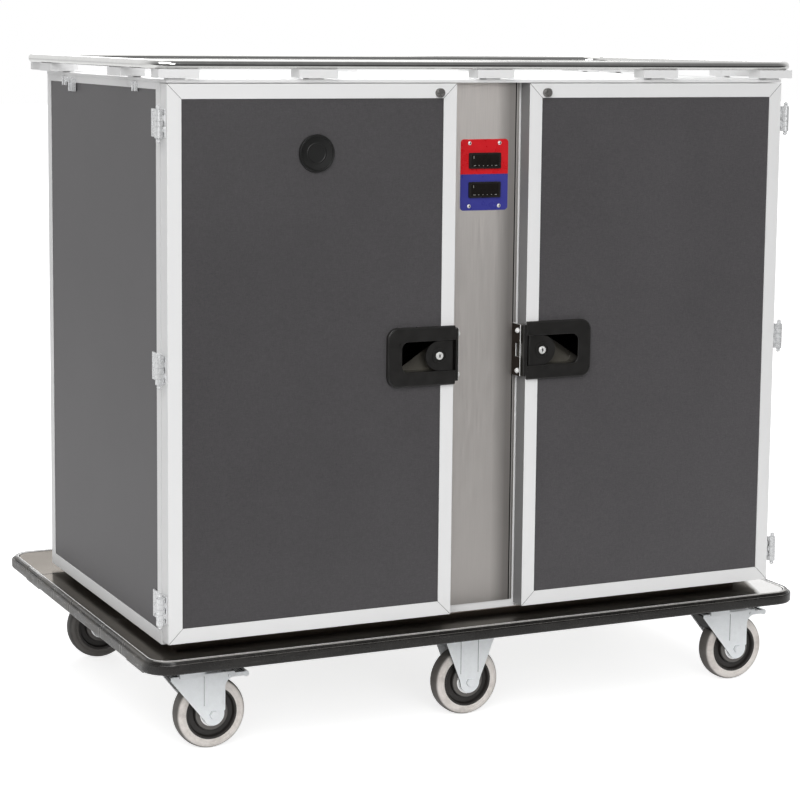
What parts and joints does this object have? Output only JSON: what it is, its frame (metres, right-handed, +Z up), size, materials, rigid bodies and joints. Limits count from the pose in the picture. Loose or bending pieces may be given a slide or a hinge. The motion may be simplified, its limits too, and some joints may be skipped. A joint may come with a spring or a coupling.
{
  "type": "enclosed meal tray cart",
  "caption": "Enclosed meal tray cart: hot and cold insulated compartments with latched doors, control column, gallery rail, bumper base and swivel casters.",
  "frame": {"origin": "centre of the footprint on the floor, under the middle of the bumper", "axes": "+X along the front to the right as one faces the doors, +Y from the doors to the back, +Z up"},
  "size_m": [1.62, 1.112, 1.4902],
  "materials": {
    "base_coating": "satin black coating",
    "deck_steel": "brushed stainless sheet",
    "bumper_rubber": "black rubber, lightly scuffed",
    "zinc_steel": "bright zinc plating",
    "tyre_rubber": "light grey non-marking rubber",
    "hub_plastic": "dark grey moulded plastic",
    "frame_aluminium": "pale satin anodised profile",
    "board_laminate": "charcoal laminate with a fine linen texture",
    "roof_sheet": "pale satin sheet",
    "liner_steel": "bright stainless sheet",
    "gasket_rubber": "dark grey rubber",
    "heater_steel": "heat tinted steel",
    "cooler_metal": "bare fins and tube",
    "cover_steel": "brushed stainless sheet",
    "column_steel": "brushed stainless sheet",
    "plate_red": "bright red enamel",
    "plate_blue": "bright blue enamel",
    "dial_plastic": "gloss black plastic",
    "screw_steel": "polished",
    "fitting_steel": "bright stainless",
    "rail_steel": "polished stainless tube",
    "block_aluminium": "satin aluminium",
    "pedal_zinc": "bright zinc plating",
    "fan_metal": "bare aluminium",
    "latch_plastic": "black glass-filled plastic",
    "core_metal": "polished",
    "bolt_steel": "bare steel",
    "vent_plastic": "black plastic"
  },
  "bodies": {
    "cart": {"base_frame": "base_coating", "deck_plate": "deck_steel", "bumper": "bumper_rubber", "caster_plates": "zinc_steel", "cabinet_frame": "frame_aluminium", "wall_panels": "board_laminate", "roof_panel": "roof_sheet", "liners": "liner_steel", "tray_racks": "liner_steel", "door_gaskets": "gasket_rubber", "duct_covers": "liner_steel", "heating_element": "heater_steel", "cooling_unit": "cooler_metal", "rear_unit_cover": "cover_steel", "column_cover": "column_steel", "control_plate_hot": "plate_red", "control_plate_cold": "plate_blue", "thermostats": "dial_plastic", "control_screws": "screw_steel", "cabinet_fittings": "fitting_steel", "strikers": "fitting_steel", "gallery_rail": "rail_steel", "rail_blocks": "block_aluminium"},
    "swivel_front_left": {"swivel_fork_front_left": "zinc_steel"},
    "swivel_front_right": {"swivel_fork_front_right": "zinc_steel"},
    "wheel_front_left": {"tyre_front_left": "tyre_rubber", "hub_front_left": "hub_plastic"},
    "wheel_front_middle": {"tyre_front_middle": "tyre_rubber", "hub_front_middle": "hub_plastic"},
    "wheel_front_right": {"tyre_front_right": "tyre_rubber", "hub_front_right": "hub_plastic"},
    "swivel_rear_left": {"swivel_fork_rear_left": "zinc_steel"},
    "swivel_rear_right": {"swivel_fork_rear_right": "zinc_steel"},
    "wheel_rear_left": {"tyre_rear_left": "tyre_rubber", "hub_rear_left": "hub_plastic"},
    "wheel_rear_middle": {"tyre_rear_middle": "tyre_rubber", "hub_rear_middle": "hub_plastic"},
    "wheel_rear_right": {"tyre_rear_right": "tyre_rubber", "hub_rear_right": "hub_plastic"},
    "pedal_left": {"brake_pedal_left": "pedal_zinc"},
    "pedal_right": {"brake_pedal_right": "pedal_zinc"},
    "rotor_hot": {"fan_hot": "fan_metal"},
    "rotor_cold": {"fan_cold": "fan_metal"},
    "door_left": {"door_frame_left": "frame_aluminium", "door_panel_left": "board_laminate", "door_lining_left": "liner_steel", "door_fittings_left": "fitting_steel", "latch_housing_left": "latch_plastic", "vent_cap": "vent_plastic"},
    "grip_left": {"latch_grip_left": "latch_plastic"},
    "core_left": {"lock_core_left": "core_metal"},
    "bolt_left": {"latch_bolt_left": "bolt_steel"},
    "door_right": {"door_frame_right": "frame_aluminium", "door_panel_right": "board_laminate", "door_lining_right": "liner_steel", "door_fittings_right": "fitting_steel", "latch_housing_right": "latch_plastic"},
    "grip_right": {"latch_grip_right": "latch_plastic"},
    "core_right": {"lock_core_right": "core_metal"},
    "bolt_right": {"latch_bolt_right": "bolt_steel"}
  },
  "joints": [
    {"name": "swivel_turn_front_left", "type": "hinge", "parent": "cart", "child": "swivel_front_left", "pos_m": [-0.6723, -0.3915, 0.18], "axis": [0, 0, 1], "continuous": true},
    {"name": "swivel_turn_front_right", "type": "hinge", "parent": "cart", "child": "swivel_front_right", "pos_m": [0.6723, -0.3915, 0.18], "axis": [0, 0, 1], "continuous": true},
    {"name": "wheel_turn_front_left", "type": "hinge", "parent": "swivel_front_left", "child": "wheel_front_left", "pos_m": [-0.6215, -0.3915, 0.08], "axis": [0, 1, 0], "continuous": true},
    {"name": "wheel_turn_front_middle", "type": "hinge", "parent": "cart", "child": "wheel_front_middle", "pos_m": [0, -0.3915, 0.08], "axis": [0, 1, 0], "continuous": true},
    {"name": "wheel_turn_front_right", "type": "hinge", "parent": "swivel_front_right", "child": "wheel_front_right", "pos_m": [0.7231, -0.3915, 0.08], "axis": [0, 1, 0], "continuous": true},
    {"name": "swivel_turn_rear_left", "type": "hinge", "parent": "cart", "child": "swivel_rear_left", "pos_m": [-0.6723, 0.3915, 0.18], "axis": [0, 0, 1], "continuous": true},
    {"name": "swivel_turn_rear_right", "type": "hinge", "parent": "cart", "child": "swivel_rear_right", "pos_m": [0.6723, 0.3915, 0.18], "axis": [0, 0, 1], "continuous": true},
    {"name": "wheel_turn_rear_left", "type": "hinge", "parent": "swivel_rear_left", "child": "wheel_rear_left", "pos_m": [-0.6215, 0.3915, 0.08], "axis": [0, 1, 0], "continuous": true},
    {"name": "wheel_turn_rear_middle", "type": "hinge", "parent": "cart", "child": "wheel_rear_middle", "pos_m": [0, 0.3915, 0.08], "axis": [0, 1, 0], "continuous": true},
    {"name": "wheel_turn_rear_right", "type": "hinge", "parent": "swivel_rear_right", "child": "wheel_rear_right", "pos_m": [0.7231, 0.3915, 0.08], "axis": [0, 1, 0], "continuous": true},
    {"name": "pedal_press_left", "type": "hinge", "parent": "swivel_front_left", "child": "pedal_left", "pos_m": [-0.5843, -0.3915, 0.163], "axis": [0, 1, 0], "range_deg": [0, 12]},
    {"name": "pedal_press_right", "type": "hinge", "parent": "swivel_front_right", "child": "pedal_right", "pos_m": [0.7603, -0.3915, 0.163], "axis": [0, 1, 0], "range_deg": [0, 12]},
    {"name": "fan_turn_hot", "type": "hinge", "parent": "cart", "child": "rotor_hot", "pos_m": [-0.4055, 0.265, 1.165], "axis": [0, 1, 0], "continuous": true},
    {"name": "fan_turn_cold", "type": "hinge", "parent": "cart", "child": "rotor_cold", "pos_m": [0.4055, 0.265, 1.165], "axis": [0, 1, 0], "continuous": true},
    {"name": "door_swing_left", "type": "hinge", "parent": "cart", "child": "door_left", "pos_m": [-0.767, -0.494, 0.85], "axis": [0, 0, -1], "range_deg": [0, 265]},
    {"name": "grip_pull_left", "type": "hinge", "parent": "door_left", "child": "grip_left", "pos_m": [-0.0975, -0.5005, 0.85], "axis": [0, 0, 1], "range_deg": [0, 30], "stiffness_Nm_per_rad": 0.6},
    {"name": "lock_turn_left", "type": "hinge", "parent": "grip_left", "child": "core_left", "pos_m": [-0.1275, -0.499, 0.85], "axis": [0, -1, 0], "range_deg": [0, 90]},
    {"name": "bolt_slide_left", "type": "slide", "parent": "door_left", "child": "bolt_left", "axis": [1, 0, 0], "range_m": [0, 0.012]},
    {"name": "door_swing_right", "type": "hinge", "parent": "cart", "child": "door_right", "pos_m": [0.767, -0.494, 0.85], "axis": [0, 0, 1], "range_deg": [0, 265]},
    {"name": "grip_pull_right", "type": "hinge", "parent": "door_right", "child": "grip_right", "pos_m": [0.0975, -0.5005, 0.85], "axis": [0, 0, -1], "range_deg": [0, 30], "stiffness_Nm_per_rad": 0.6},
    {"name": "lock_turn_right", "type": "hinge", "parent": "grip_right", "child": "core_right", "pos_m": [0.1275, -0.499, 0.85], "axis": [0, 1, 0], "range_deg": [0, 90]},
    {"name": "bolt_slide_right", "type": "slide", "parent": "door_right", "child": "bolt_right", "axis": [-1, 0, 0], "range_m": [0, 0.012]}
  ],
  "couplings": [
    {"joint": "lock_turn_left", "follows": "bolt_slide_left", "rad_per_m": 130.9},
    {"joint": "lock_turn_right", "follows": "bolt_slide_right", "rad_per_m": 130.9}
  ]
}
